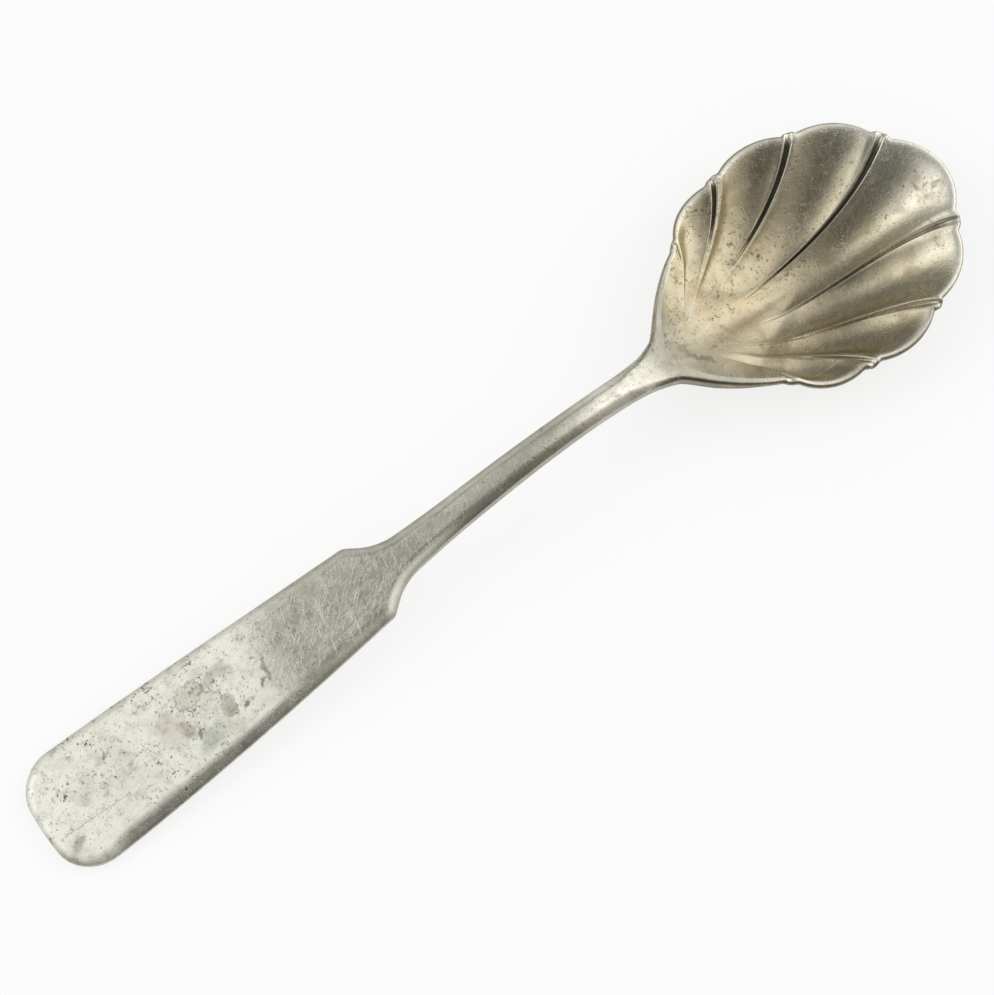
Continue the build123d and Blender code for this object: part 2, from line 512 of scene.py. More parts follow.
lip_wear_inside = (0.97, 1)
lip_wear_across = (0.75, 0.4)
outer_edge = (0.85, 0.97)
channel_layer = shell.verts.layers.float.new("channel")
ridge_layer = shell.verts.layers.float.new("ridge")
lip_layer = shell.verts.layers.float.new("lip")
edge_layer = shell.verts.layers.float.new("edge")
bevel_layer = shell.verts.layers.float.new("bevel")
for vert in shell.verts:
    share = hypot(vert.co.x, vert.co.y)
    column = round(atan2(vert.co.y, vert.co.x) / (2 * pi) * len(columns))
    angle = columns[column % len(columns)]
    level = round(vert.co.z * lip_levels)
    if level == 0:
        place, vert[channel_layer], vert[ridge_layer] = shell_place(angle, share, lip)
        vert[lip_layer] = soft_step(*lip_wear_inside, share)
    elif level == lip_levels:
        place = shell_place(angle, share, 0.0)[0]
        vert[edge_layer] = soft_step(*outer_edge, share)
        vert[bevel_layer] = vert[edge_layer] * bevel_side(place[1])
    else:
        across = lip_steps[level - 1]
        place, inset_share = lip_place(angle, across)
        vert[lip_layer] = soft_step(*lip_wear_across, across)
        vert[edge_layer] = edge_mark(inset_share, angle < 0)
        vert[bevel_layer] = bevel_mark(inset_share, place[1])
    vert.co = (place[0], place[1], max(0.0, place[2]))
face_outward(shell)
sharpen(shell, heel_x)
bowl = as_piece(shell, "shell_bowl")
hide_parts("bowl")
print("shell:", len(bowl.data.polygons), "faces")

# %% [markdown]
# The handle is cut from plate: its plan is a polygon with rounded corners, given a thickness,
# rounded along the front and the back. Only then is it cut across into short strips and bent
# to the curve of the real handle, which is read from the CAD solid by rays from above and
# below. Beyond the heel it goes on as a tongue that lies under the shell.

# %% Plan of the handle
end_x = -74.0
end_half_width = 8.5
PlanPoint = namedtuple("PlanPoint", "x y round segments")
plan_rows = (
    (end_x, end_half_width, 5.2, 12),
    (-22.3, 5.75, 0.4, 3),
    (-18.6, 2.95, 2.2, 10),
    (-12.0, 2.42, 3.2, 5),
    (0.0, 2.03, 5.0, 4),
    (15.4, 1.88, 5.0, 4),
    (22.0, 2.1, 2.0, 5),
    (24.9, 2.55, 1.2, 5),
    (heel_x, heel_half_width, 0.0, 0),
    (37.6, 2.5, 2.3, 8),
)
plan = [PlanPoint(*row) for row in plan_rows]
plate_depth = 4.0
front_round = 1.2
back_round = 0.6
blank = bmesh.new()
corners = [(p.x, p.y, p) for p in plan] + [(p.x, -p.y, p) for p in reversed(plan)]
outline = [blank.verts.new((x, y, 0)) for x, y, p in corners]
blank.faces.new(outline)
for vert, (x, y, p) in zip(outline, corners):
    if p.segments:
        bmesh.ops.bevel(
            blank, geom=[vert], offset=p.round, segments=p.segments, profile=0.5,
            affect="VERTICES", material=-1,
        )
up = bmesh.ops.extrude_face_region(blank, geom=blank.faces[:])
raised = [item for item in up["geom"] if isinstance(item, bmesh.types.BMVert)]
bmesh.ops.translate(blank, vec=(0, 0, plate_depth), verts=raised)
face_outward(blank)
print("plan of the handle:", len(raised), "corners")

# %% Round the plate's edges
tiny = 1e-4
front_segments = 6
back_segments = 4


def border(level):
    """Edges round the plate at this height."""
    return [edge for edge in blank.edges if all(abs(v.co.z - level) < tiny for v in edge.verts)]


for level, size, segments in (
    (plate_depth, front_round, front_segments),
    (0.0, back_round, back_segments),
):
    bmesh.ops.bevel(
        blank, geom=border(level), offset=size, segments=segments, profile=0.5,
        affect="EDGES", material=-1,
    )
print("rounded plate:", len(blank.faces), "faces")

# %% Cut the plate into strips
first_cut = -72.5
strip = 1.0
strip_count = 110
lane = 1.2
lanes_each_side = 5
step_x = 27.1


def cut_plate(place, across):
    """Cuts every face where a plane through the place, square to the direction, meets it."""
    everything = blank.verts[:] + blank.edges[:] + blank.faces[:]
    bmesh.ops.bisect_plane(blank, geom=everything, plane_co=place, plane_no=across)


for i in range(strip_count):
    cut_plate((first_cut + i * strip, 0, 0), (1, 0, 0))
for x in (heel_x, step_x):
    cut_plate((x, 0, 0), (1, 0, 0))
for i in range(-lanes_each_side, lanes_each_side + 1):
    cut_plate((0, lane * i, 0), (0, 1, 0))
print("cut plate:", len(blank.faces), "faces")

# %% Heights of the handle
cad_handle = BVHTree.FromObject(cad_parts["handle"], bpy.context.evaluated_depsgraph_get())
ray_start = 0.05
end_limit = -73.4
stem_limit = 22.0
seam_gap = 0.03
slope_step = 0.1
let_in = 0.35
# The tongue under the shell: where it starts, where it is full and where it ends, how far it
# stands out at its tip, and how much further where it is full
root_x, tongue_x, tongue_tip_x = 25.0, 30.0, 37.5
tip_stand = 0.16
tongue_swell = 0.69


@lru_cache(maxsize=None)
def cad_height(x, front):
    """Height of the CAD handle's front or back on its middle line, in millimetres."""
    start = Vector((max(x, end_limit) * MM, 0, ray_start if front else -ray_start))
    hit = cad_handle.ray_cast(start, Vector((0, 0, -1 if front else 1)))[0]
    return hit.z / MM


def lip_top(x):
    """Height of the lip at the heel."""
    return rim_plane(x) + heel_rise(x)


def shell_under(x, y):
    """Height of the outside of the shell at its heel."""
    size = min(1.0, size_share(x, y, 0.0))
    return rim_plane(x) - outside_depth(x, size) + lifted(x, size)


def front_line(x, y):
    """Height of the front: the CAD's, then a smooth run to the lip, then under the shell."""
    if x <= stem_limit:
        return cad_height(x, True)
    if x <= heel_x:
        blend = soft_step(stem_limit, heel_x, x)
        heel_slope = (lip_top(heel_x + slope_step) - lip_top(heel_x)) / slope_step
        run_in = lip_top(heel_x) + heel_slope * (x - heel_x)
        return (1 - blend) * cad_height(x, True) + blend * run_in
    if x <= step_x:
        return lip_top(x) - seam_gap
    return shell_under(x, y) + let_in


def back_line(x, y):
    """Height of the back: the CAD's, then a tongue that lies under the shell."""
    if x < root_x:
        return cad_height(x, False)
    blend = soft_step(root_x, tongue_x, x)
    stand = tip_stand + tongue_swell * soft_step(tongue_tip_x, tongue_x, x)
    return (1 - blend) * cad_height(root_x, False) + blend * (shell_under(x, y) - stand)


print("front and back at the crest:", front_line(15.4, 0), back_line(15.4, 0))

# %% Bend the handle
# The sides of the fiddle bow out round its middle, and its end is bowed and a little askew
side_bow = 0.42
bow_middle_x = -48.6
bow_half_length = 25.4
bow_half_width = 7.2
end_bow = 0.9
end_skew = 0.55
end_from = -62
bevel_grows = (-73, -67)
# The front is crowned across the fiddle. The back rounds up by its rise, or by a share of the
# edge's height where that is less
crown = 0.2
crown_half_width = 8
crown_grows = (-17, -26)
back_rise = 0.45
back_share = 0.4
bevel_layer = blank.verts.layers.float.new("bevel")
edge_layer = blank.verts.layers.float.new("edge")
for vert in blank.verts:
    x, y, z = vert.co
    along = (x - bow_middle_x) / bow_half_length
    y *= 1 + side_bow * max(0.0, 1 - along**2) / bow_half_width
    out = y / end_half_width
    x -= soft_step(end_from, end_x, x) * (end_bow * (1 - out**2) - end_skew * out)
    # Widen or narrow the rounded edge to the eased edge's own width
    up_share = min(1.0, max(0.0, (z - plate_depth + front_round) / front_round))
    inset_share = 1 - sqrt(1 - up_share**2)
    shift = inset_share * (bevel_width(x) - front_round) * soft_step(*bevel_grows, x)
    if abs(y) > tiny and shift < abs(y):
        y -= copysign(1, y) * shift
    back = back_line(x, y)
    front = front_line(x, y) - crown * (y / crown_half_width) ** 2 * soft_step(*crown_grows, x)
    edge_top = front - edge_fall(x, 0)
    edge_low = back + min(back_rise, back_share * (edge_top - back))
    if up_share > 0:
        height = front - edge_fall(x, inset_share * bevel_width(x))
    elif z < back_round:
        height = back + (edge_low - back) * z / back_round
    else:
        share = (z - back_round) / (plate_depth - front_round - back_round)
        height = edge_low + share * (edge_top - edge_low)
    vert[bevel_layer] = bevel_mark(inset_share, y)
    vert[edge_layer] = edge_mark(inset_share, y < 0) * soft_step(0, back_round, z)
    vert.co = (x, y, max(0.0, height))
sharpen(blank, heel_x)
sharpen(blank, step_x)
handle = as_piece(blank, "fiddle_handle")
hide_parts("handle")
even_light = handle.modifiers.new("even_light", "WEIGHTED_NORMAL")
even_light.keep_sharp = True
print("handle:", len(handle.data.polygons), "faces")


# %% [markdown]
# Every finish is a tree of nodes. A small class lets values be added, multiplied and so on as
# in ordinary Python, and each step becomes a Math node. A second class adds any other node and
# fills its sockets. The same two serve for the silver, the floor and the studio.

# %% Values in a finish
class Value:
    """A number, colour or place on its way through a finish."""

    def __init__(self, nodes, socket):
        self.nodes = nodes
        self.socket = socket

    def math(self, operation, *others):
        return self.nodes.node("ShaderNodeMath", {"operation": operation}, self, *others)

    def __add__(self, other):
        return self.math("ADD", other)

    __radd__ = __add__

    def __mul__(self, other):
        return self.math("MULTIPLY", other)

    __rmul__ = __mul__

    def __sub__(self, other):
        return self.math("SUBTRACT", other)

    def __rsub__(self, other):
        return self.nodes.node("ShaderNodeMath", {"operation": "SUBTRACT"}, other, self)

    def __truediv__(self, other):
        return self.math("DIVIDE", other)

    def __pow__(self, other):
        return self.math("POWER", other)

    def clear(self, low, high):
        """0 at low and 1 at high, with a smooth rise between them."""
        settings = {"interpolation_type": "SMOOTHSTEP"}
        return self.nodes.node("ShaderNodeMapRange", settings, self, low, high, 0.0, 1.0)

    def also(self, output):
        """Another output of the node that made this value."""
        return Value(self.nodes, self.socket.node.outputs[output])


print("made the class", Value.__name__)


# %% Nodes of a finish
class Nodes:
    """The nodes of one finish, floor or studio."""

    def __init__(self, tree):
        self.tree = tree

    def plug(self, socket, value):
        """Links a value to a socket, or sets it there."""
        if isinstance(value, Value):
            self.tree.links.new(value.socket, socket)
        else:
            socket.default_value = value

    def node(self, kind, settings, *values, output=None, **named):
        """Adds a node, sets it up, and fills its sockets in order or by name."""
        made = self.tree.nodes.new(kind)
        for key, setting in settings.items():
            if key == "stops":
                set_stops(made.color_ramp, setting)
            else:
                setattr(made, key, setting)
        sockets = [socket for socket in made.inputs if socket.enabled]
        for socket, value in zip(sockets, values):
            self.plug(socket, value)
        for key, value in named.items():
            self.plug(next(socket for socket in sockets if socket.name == key), value)
        outputs = [socket for socket in made.outputs if socket.enabled]
        found = next((socket for socket in outputs if socket.name == output), outputs[0])
        return Value(self, found)

    def part(self, place, axis):
        """One coordinate of a place."""
        return self.node("ShaderNodeSeparateXYZ", {}, place, output=axis)

    def mix(self, share, first, second):
        """A share of a plain colour over another colour."""
        return self.node("ShaderNodeMix", {"data_type": "RGBA"}, share, first, (*second, 1))

    def noise(self, place, scale, detail=3.0, rough=0.55):
        """Cloudy noise, with its scale in patches per metre."""
        sockets = {"Vector": place, "Scale": scale, "Detail": detail, "Roughness": rough}
        return self.node("ShaderNodeTexNoise", {}, output="Fac", **sockets)

    def number(self, name):
        """A number that the mesh carries at each vertex."""
        return self.node("ShaderNodeAttribute", {"attribute_name": name}, output="Fac")


def set_stops(ramp, stops):
    """Gives a colour ramp its stops, each a position and a colour."""
    for element, (position, colour) in zip(ramp.elements, (stops[0], stops[-1])):
        element.position = position
        element.color = (*colour, 1)
    for position, colour in stops[1:-1]:
        ramp.elements.new(position).color = (*colour, 1)


def new_material(name):
    """A new material with its own node tree."""
    material = bpy.data.materials.new(name)
    material.use_nodes = True
    return material


print("made the class", Nodes.__name__)


# %% [markdown]
# Old silver plate wears in small marks. Pits are specks of many sizes that gather in patches:
# the cells of a Voronoi texture, many of them left empty, each speck as large as its cell's
# random number says. Scratches are noise drawn out into thin lines.

# %% Marks on silver
def uneven(nodes, place, scale, amount):
    """The place pushed about by noise, so that round marks come out ragged."""
    sockets = {"Vector": place, "Scale": scale, "Detail": 2.0}
    push = nodes.node("ShaderNodeTexNoise", {}, output="Color", **sockets)
    push = nodes.node("ShaderNodeVectorMath", {"operation": "SUBTRACT"}, push, (0.5, 0.5, 0.5))
    push = nodes.node("ShaderNodeVectorMath", {"operation": "SCALE"}, push, Scale=amount)
    return nodes.node("ShaderNodeVectorMath", {"operation": "ADD"}, place, push)


def specks(nodes, place, scale, used, biggest):
    """Specks in a used share of the cells, up to the biggest radius in cells."""
    away = nodes.node("ShaderNodeTexVoronoi", {}, Vector=place, Scale=scale, output="Distance")
    chance = nodes.part(away.also("Color"), "X")
    radius = ((chance - (1 - used)) * (biggest / used)).math("MAXIMUM", 1e-4)
    return away.clear(radius, radius * 0.55)


def scratches(nodes, place, turn, length, width, least):
    """Thin lines in one direction, with their length and width in millimetres."""
    drawn = nodes.node(
        "ShaderNodeMapping", {"vector_type": "TEXTURE"}, Vector=place,
        Rotation=(0, 0, radians(turn)), Scale=(length * MM, width * MM, length * MM),
    )
    return nodes.noise(drawn, 1.0, detail=1.0).clear(least, least + 0.06)


print("marks: specks and scratches")

# %% [markdown]
# Both pieces share one recipe, so that the joint between them can't be seen. It is built in
# layers over a ground of places, noises and zones. First comes a colour ramp along the spoon,
# from the rubbed, bright end to the greyer shoulder and stem and the warm shell, under clouds,
# mottling and grain.

# %% Ground of the silver
class Silver(Nodes):
    """The nodes of a silver finish, with the places, noises and zones that its layers share."""

    def __init__(self, tree):
        super().__init__(tree)
        self.place = self.node("ShaderNodeTexCoord", {}, output="Object")
        self.ragged = uneven(self, self.place, 1500, 0.0007)
        self.x = self.part(self.place, "X") * (1 / MM)
        self.y = self.part(self.place, "Y") * (1 / MM)
        self.cloud = self.noise(self.place, 75, detail=4)
        self.mottle = self.noise(self.ragged, 330, detail=6, rough=0.62)
        self.grain = self.noise(self.ragged, 520, detail=8, rough=0.86)
        self.shell_zone = self.x.clear(24, 36)
        self.end_zone = self.x.clear(-25, -50)


print("made the class", Silver.__name__)

# %% Patina
spoon_length = 150.0
silver_stops = (
    (-75, (0.98, 0.975, 0.88)),
    (-57, (0.95, 0.94, 0.84)),
    (-42, (0.95, 0.94, 0.83)),
    (-35, (0.84, 0.83, 0.725)),
    (-27, (0.79, 0.78, 0.675)),
    (-18, (0.60, 0.59, 0.505)),
    (-6, (0.78, 0.76, 0.65)),
    (8, (0.64, 0.62, 0.51)),
    # The stop at the crest is brighter than the stem round it, partly as a painted highlight
    (17, (0.96, 0.93, 0.81)),
    (25, (0.76, 0.73, 0.61)),
    (30.5, (0.45, 0.40, 0.285)),
    (37, (0.58, 0.505, 0.34)),
    (48, (0.45, 0.385, 0.25)),
    (63, (0.60, 0.54, 0.375)),
    (75, (0.98, 0.94, 0.80)),
)
bright_silver = (0.92, 0.91, 0.84)
green_grey = (0.38, 0.39, 0.30)
end_grey = (0.50, 0.50, 0.39)
brown_tarnish = (0.30, 0.225, 0.13)
tan_tarnish = (0.62, 0.48, 0.28)
dark_grain = (0.26, 0.25, 0.19)


def patina(silver):
    """The silver's colour under clouds, mottling and grain, and how brown each place is."""
    x, mottle = silver.x, silver.mottle
    stops = [(position / spoon_length + 0.5, colour) for position, colour in silver_stops]
    along = x / spoon_length + 0.5
    colour = silver.node("ShaderNodeValToRGB", {"stops": stops}, along, output="Color")
    # Clouds of green-grey, grey mottling at the end, and brown mottling, strongest in the shell
    colour = silver.mix(silver.cloud.clear(0.46, 0.68) * 0.28, colour, green_grey)
    colour = silver.mix(mottle.clear(0.45, 0.64) * silver.end_zone * 0.16, colour, end_grey)
    brown = mottle.clear(0.47, 0.68) * (0.18 + silver.shell_zone * 0.27)
    colour = silver.mix(brown, colour, brown_tarnish)
    # Tan patches on the floor of the shell, towards the heel
    patches = silver.noise(silver.ragged, 210, detail=4, rough=0.6).clear(0.5, 0.68)
    patches = patches * x.clear(28, 32) * x.clear(56, 40)
    colour = silver.mix(patches * 0.4, colour, tan_tarnish)
    # Dark and bright grain, weaker on the stem and weakest in the shell
    stem_zone = x.clear(-20, -12) * x.clear(28, 22)
    sandy = (1 - silver.shell_zone * 0.85) * (1 - stem_zone * 0.5)
    flecks = silver.noise(silver.place, 800, detail=8, rough=0.86)
    colour = silver.mix(silver.grain.clear(0.50, 0.64) * sandy * 0.55, colour, dark_grain)
    colour = silver.mix(flecks.clear(0.52, 0.66) * sandy * 0.5, colour, bright_silver)
    return colour, brown


print("colours along the spoon:", len(silver_stops))

# %% [markdown]
# The small marks come next. Specks and pits lie closest together at the end and along the left
# edge, and scratches run in four directions, most of them by the shoulder.

# %% Specks and scratches
speck_dark = (0.085, 0.08, 0.058)
# Direction in degrees, length and width in millimetres, and the least noise that shows
scratch_sets = (
    (38, 2.6, 0.09, 0.63),
    (-25, 2.0, 0.08, 0.64),
    (72, 2.2, 0.09, 0.64),
    (5, 4.0, 0.10, 0.65),
)


def speck_mask(silver):
    """Specks and pits, closest together at the end and along the left edge."""
    left_edge = (silver.y + silver.x * 0.055).clear(1.5, 4.2)
    gather = silver.noise(silver.place, 230, detail=4, rough=0.6).clear(0.46, 0.62)
    fine = specks(silver, silver.ragged, 2700, 0.5, 0.55) * (0.6 + gather * 0.4)
    small = specks(silver, silver.ragged, 1500, 0.25, 0.48) * gather
    pits = silver.noise(silver.ragged, 900, detail=5, rough=0.7).clear(0.57, 0.64) * gather
    dots = fine * 0.75 + small * 0.75 + pits * 0.9
    return dots * (0.35 + silver.end_zone * 0.65 + left_edge * 0.4)


def scratch_mask(silver):
    """Fine lines in several directions, most of them by the shoulder."""
    marks = [scratches(silver, silver.place, *one) for one in scratch_sets]
    lines = marks[0]
    for mark in marks[1:]:
        lines = lines.math("MAXIMUM", mark)
    shoulder_zone = silver.x.clear(-48, -34) * silver.x.clear(-8, -18)
    return lines * (0.16 + shoulder_zone * 0.2)


print("directions of scratches:", len(scratch_sets))

# %% [markdown]
# The numbers that the meshes carry say where tarnish gathers, where hands have rubbed it off,
# and where shade and highlights are painted. Channels and outer edges are dark with tarnish and
# painted shade, and the right bevel with painted shade. Ridges are bright with wear and a painted
# highlight, the lip with wear, and the right bevel in the hollow of the shoulder with a painted
# highlight.

# %% Grooves and bevels
dark_tarnish_and_shade = (0.055, 0.05, 0.036)
edge_tarnish_and_shade = (0.18, 0.16, 0.105)
worn_ridge_and_highlight = (0.84, 0.82, 0.73)
painted_hollow_highlight = (0.95, 0.92, 0.80)


def groove_layers(silver, colour):
    """The colour with channels dark with tarnish and painted shade, ridges bright with wear and a
    painted highlight, a worn lip, and how dark each channel is.
    """
    mottle = silver.mottle
    channel = silver.number("channel")
    shaded_left_side = silver.y.clear(-5, 4)
    # Channels darken with tarnish and with painted shade, heavier on the left side, whose walls
    # face away from the light
    groove_tarnish_and_shade = (channel * (0.55 + shaded_left_side * 0.6) + (mottle - 0.5) * channel).clear(0.1, 0.95)
    colour = silver.mix(groove_tarnish_and_shade * 0.88, colour, dark_tarnish_and_shade)
    # Ridges lighten with wear and with a painted highlight, and the lip beyond the heel with wear
    wear_and_highlight = silver.number("ridge") * mottle.clear(0.25, 0.55) * 0.55
    wear_and_highlight = wear_and_highlight + silver.number("lip") * silver.x.clear(28, 31) * 0.7
    return silver.mix(wear_and_highlight, colour, worn_ridge_and_highlight), groove_tarnish_and_shade


Bevels = namedtuple("Bevels", "right left bright edge")


def bevel_masks(silver):
    """The right and left bevel, the painted highlight on part of the right one, and the dark edges
    of tarnish and painted shade.
    """
    x, mottle = silver.x, silver.mottle
    bevel = silver.number("bevel") * x.clear(38, 28)
    hollow = x.clear(-24, -22) * x.clear(-5, -17)
    right_side = bevel.math("MAXIMUM", 0.0)
    right = right_side * x.clear(-75, -64) * (1 - hollow)
    left = (bevel * -1).math("MAXIMUM", 0.0) * x.clear(26.5, 18)
    # A painted highlight on the right bevel, in the hollow of the shoulder and more faintly along
    # it
    bright = right_side * (hollow + x.clear(-44, -28) * x.clear(-21, -24) * 0.45)
    # A painted shade on the right bevel, lightest over the shoulder and darkest along the stem
    dark = right * (0.42 - x.clear(-44, -30) * 0.26 + x.clear(-12, 4) * 0.5)
    # Outer edges darken with tarnish and with painted shade
    edge = silver.number("edge") * mottle.clear(0.1, 0.5) * (0.65 + silver.shell_zone * 0.25)
    edge = edge.math("MAXIMUM", dark * mottle.clear(0.1, 0.45))
    return Bevels(right, left, bright, edge)


print("bevel masks:", Bevels._fields)

# %% [markdown]
# Stains sit at places of their own. Each is a torn ellipse, and some have a darker rim where a
# drop has dried.

# %% Places of the stains
# Middle, half length and half width in millimetres, turn in degrees, how torn its outline is,
# how strong its body and its rim are, and its colour
Stain = namedtuple("Stain", "x y long wide turn tear strength ring colour")
stain_rows = (
    (-49.7, 2.6, 2.1, 1.6, 10, 0.35, 0.45, 0.85, (0.40, 0.385, 0.30)),
    (-46.4, -1.6, 1.5, 1.1, 60, 0.7, 0.7, 0.8, (0.30, 0.26, 0.19)),
    (-54.1, 0.4, 3.4, 2.0, 75, 0.8, 0.45, 0.0, (0.52, 0.46, 0.36)),
    (-52.6, -0.9, 1.0, 1.6, 20, 0.6, 0.6, 0.2, (0.34, 0.30, 0.23)),
    (-45.7, 2.9, 2.6, 0.9, 8, 0.8, 0.6, 0.5, (0.36, 0.35, 0.31)),
    (-39.6, -0.8, 1.5, 0.5, 65, 0.8, 0.85, 0.2, (0.20, 0.175, 0.13)),
    (-41.0, -2.0, 0.8, 0.4, 40, 0.8, 0.8, 0.2, (0.22, 0.19, 0.14)),
    (-43.8, -2.8, 0.6, 0.45, 0, 0.3, 0.4, 0.9, (0.30, 0.28, 0.21)),
    (-50.8, -4.0, 2.8, 1.4, 20, 1.0, 0.55, 0.2, (0.36, 0.40, 0.31)),
    (-65.2, 0.0, 0.55, 0.55, 0, 0.2, 0.4, 0.95, (0.27, 0.27, 0.22)),
    (-51.5, -2.3, 1.0, 0.45, 70, 1.0, 0.8, 0.1, (0.20, 0.18, 0.14)),
    (-53.0, 6.4, 1.2, 0.3, 25, 1.6, 0.7, 0.0, (0.13, 0.115, 0.085)),
    (-47.5, 6.2, 1.0, 0.3, 20, 1.6, 0.7, 0.0, (0.13, 0.115, 0.085)),
    (-72.6, -4.3, 1.4, 1.2, 40, 1.2, 0.6, 0.2, (0.24, 0.235, 0.17)),
    (30.8, -1.1, 3.8, 0.5, -62, 1.2, 0.5, 0.0, (0.17, 0.135, 0.085)),
    (30.0, -0.4, 2.6, 0.9, -56, 1.5, 0.35, 0.0, (0.20, 0.155, 0.10)),
    (31.8, -3.2, 1.8, 0.6, -60, 1.5, 0.4, 0.0, (0.20, 0.155, 0.10)),
    (37.5, 3.5, 3.0, 2.0, 60, 1.2, 0.35, 0.0, (0.34, 0.25, 0.15)),
    (41.0, -1.0, 3.5, 2.2, 10, 1.2, 0.35, 0.0, (0.34, 0.25, 0.15)),
)
stains = [Stain(*row) for row in stain_rows]


def stain_mask(x, y, torn_x, torn_y, stain, wobble):
    """How strongly a stain covers the silver, with a darker rim."""
    turn = radians(stain.turn)
    x = x + (torn_x - x) * stain.tear
    y = y + (torn_y - y) * stain.tear
    along = (x * cos(turn) + y * sin(turn)) - (stain.x * cos(turn) + stain.y * sin(turn))
    beside = (y * cos(turn) - x * sin(turn)) - (stain.y * cos(turn) - stain.x * sin(turn))
    along = along / stain.long
    beside = beside / stain.wide
    away = (along * along + beside * beside) ** 0.5 + (wobble - 0.5) * 1.1
    body = away.clear(1.15, 0.5) * stain.strength
    rim = away.clear(0.76, 0.92) * away.clear(1.06, 0.94) * stain.ring
    return body.math("MAXIMUM", rim)


print("stains:", len(stains))

# %% Stains and a scored line
score_from, score_to = -74.0, -62.5
score_y, score_slope = -2.35, -0.055
score_dark = (0.20, 0.19, 0.15)


def stained(silver, colour, in_shell):
    """The colour with the stains of the shell, or of the handle, over it."""
    torn = uneven(silver, silver.ragged, 420, 0.0024)
    torn_x = silver.part(torn, "X") * (1 / MM)
    torn_y = silver.part(torn, "Y") * (1 / MM)
    wobble = silver.noise(silver.place, 1100, detail=5, rough=0.65)
    streaks = 0.4 + silver.mottle * 0.5 + silver.grain.clear(0.4, 0.62) * 0.5
    for stain in stains:
        if (stain.x > heel_x) == in_shell:
            mask = stain_mask(silver.x, silver.y, torn_x, torn_y, stain, wobble)
            colour = silver.mix(mask * streaks, colour, stain.colour)
    return colour


def scored(silver, colour):
    """The colour with one long scored line at the end of the handle."""
    x = silver.x
    off_line = silver.y - (score_y + score_slope * (x - score_from))
    line = off_line.math("ABSOLUTE").clear(0.08, 0.03)
    line = line * x.clear(score_from, score_from + 1) * x.clear(score_to, score_to - 2)
    return silver.mix(line * 0.5, colour, score_dark)


print("scored line, mm:", score_to - score_from)

# %% [markdown]
# The finish puts the layers together for the four sockets of the shader that vary. The rubbed
# end is less metallic than the rest, so that it looks white instead of mirroring the room.

# %% Worn silver
def worn_silver(name, in_shell):
    """The finish of a piece, from its ground to its stains."""
    material = new_material(name)
    silver = Silver(material.node_tree)
    colour, brown = patina(silver)
    dots = speck_mask(silver)
    lines = scratch_mask(silver)
    colour = silver.mix(dots.math("MINIMUM", 0.92), colour, speck_dark)
    colour = silver.mix(lines, colour, bright_silver)
    colour, groove_tarnish_and_shade = groove_layers(silver, colour)
    bevels = bevel_masks(silver)
    # A painted highlight in the hollow of the right bevel, then dark edges of tarnish and painted
    # shade
    colour = silver.mix(bevels.bright * 0.6, colour, painted_hollow_highlight)
    colour = silver.mix(bevels.edge, colour, edge_tarnish_and_shade)
    colour = scored(silver, stained(silver, colour, in_shell))
    rough = 0.2 + silver.mottle * 0.14 + dots * 0.25 + brown * 0.15 + groove_tarnish_and_shade * 0.15
    metal = 0.27 + (silver.x + (silver.cloud - 0.5) * 20).clear(-44, -30) * 0.68
    metal = metal * (1 - lines * 0.7)
    # The right bevel is made a fuller mirror, which darkens it as painted shade; the left bevel and
    # the hollow mirror less, which lightens them as painted light
    metal = metal + (1 - metal) * bevels.right * 0.85
    metal = metal * (1 - bevels.left * 0.6) * (1 - bevels.bright * 0.7)
    dents = silver.noise(silver.place, 150, detail=2)
    height = dents * 2.5 + silver.mottle * 0.3 + silver.grain * 0.3 - dots * 1.1 - lines * 0.35
    bump = silver.node("ShaderNodeBump", {}, Strength=0.3, Distance=0.0002, Height=height)
    shader = material.node_tree.nodes["Principled BSDF"].inputs
    silver.plug(shader["Base Color"], colour)
    silver.plug(shader["Roughness"], rough)
    silver.plug(shader["Metallic"], metal)
    silver.plug(shader["Normal"], bump)
    return material


bowl.data.materials.append(worn_silver("bowl_silver_finish", True))
handle.data.materials.append(worn_silver("handle_silver_finish", False))
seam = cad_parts["solder_seam"]
seam.data.materials.clear()
seam.data.materials.append(worn_silver("solder_finish", False))
print("finishes:", [m.name for m in bpy.data.materials])

# %% [markdown]
# The spoon lies on a pale floor in soft light from two sides, as in a shop photograph. The
# floor is plain paper for the light that falls on it, and glows evenly where it is seen or
# mirrored.

# %% Floor
floor_half_size = 3.0
floor_drop = 0.0002
floor_glow = 0.76
paper_white = (0.9, 0.9, 0.9, 1)
pure_white = (1, 1, 1, 1)
floor_form = bmesh.new()
bmesh.ops.create_grid(floor_form, x_segments=1, y_segments=1, size=floor_half_size)
floor_mesh = bpy.data.meshes.new("floor")
floor_form.to_mesh(floor_mesh)
floor_form.free()
floor = placed("floor", floor_mesh)
floor.location.z = -floor_drop
floor_material = new_material("pale_paper")
paper = Nodes(floor_material.node_tree)
paper_shader = floor_material.node_tree.nodes["Principled BSDF"]
paper.plug(paper_shader.inputs["Base Color"], paper_white)
paper.plug(paper_shader.inputs["Roughness"], 0.9)


def seen_rays(nodes):
    """1 for rays from the camera, and 1 for rays by way of a mirror or glass."""
    camera_ray = nodes.node("ShaderNodeLightPath", {}, output="Is Camera Ray")
    glossy_ray = camera_ray.also("Is Glossy Ray")
    return camera_ray, glossy_ray.math("MAXIMUM", camera_ray.also("Is Transmission Ray"))


seen, mirrored = seen_rays(paper)
glow = paper.node("ShaderNodeEmission", {}, pure_white, 1.0)
both = paper.node(
    "ShaderNodeMixShader", {}, seen.math("MAXIMUM", mirrored) * floor_glow,
    Value(paper, paper_shader.outputs[0]), glow,
)
paper.plug(floor_material.node_tree.nodes["Material Output"].inputs["Surface"], both)
floor.data.materials.append(floor_material)
print("floor:", floor.name)

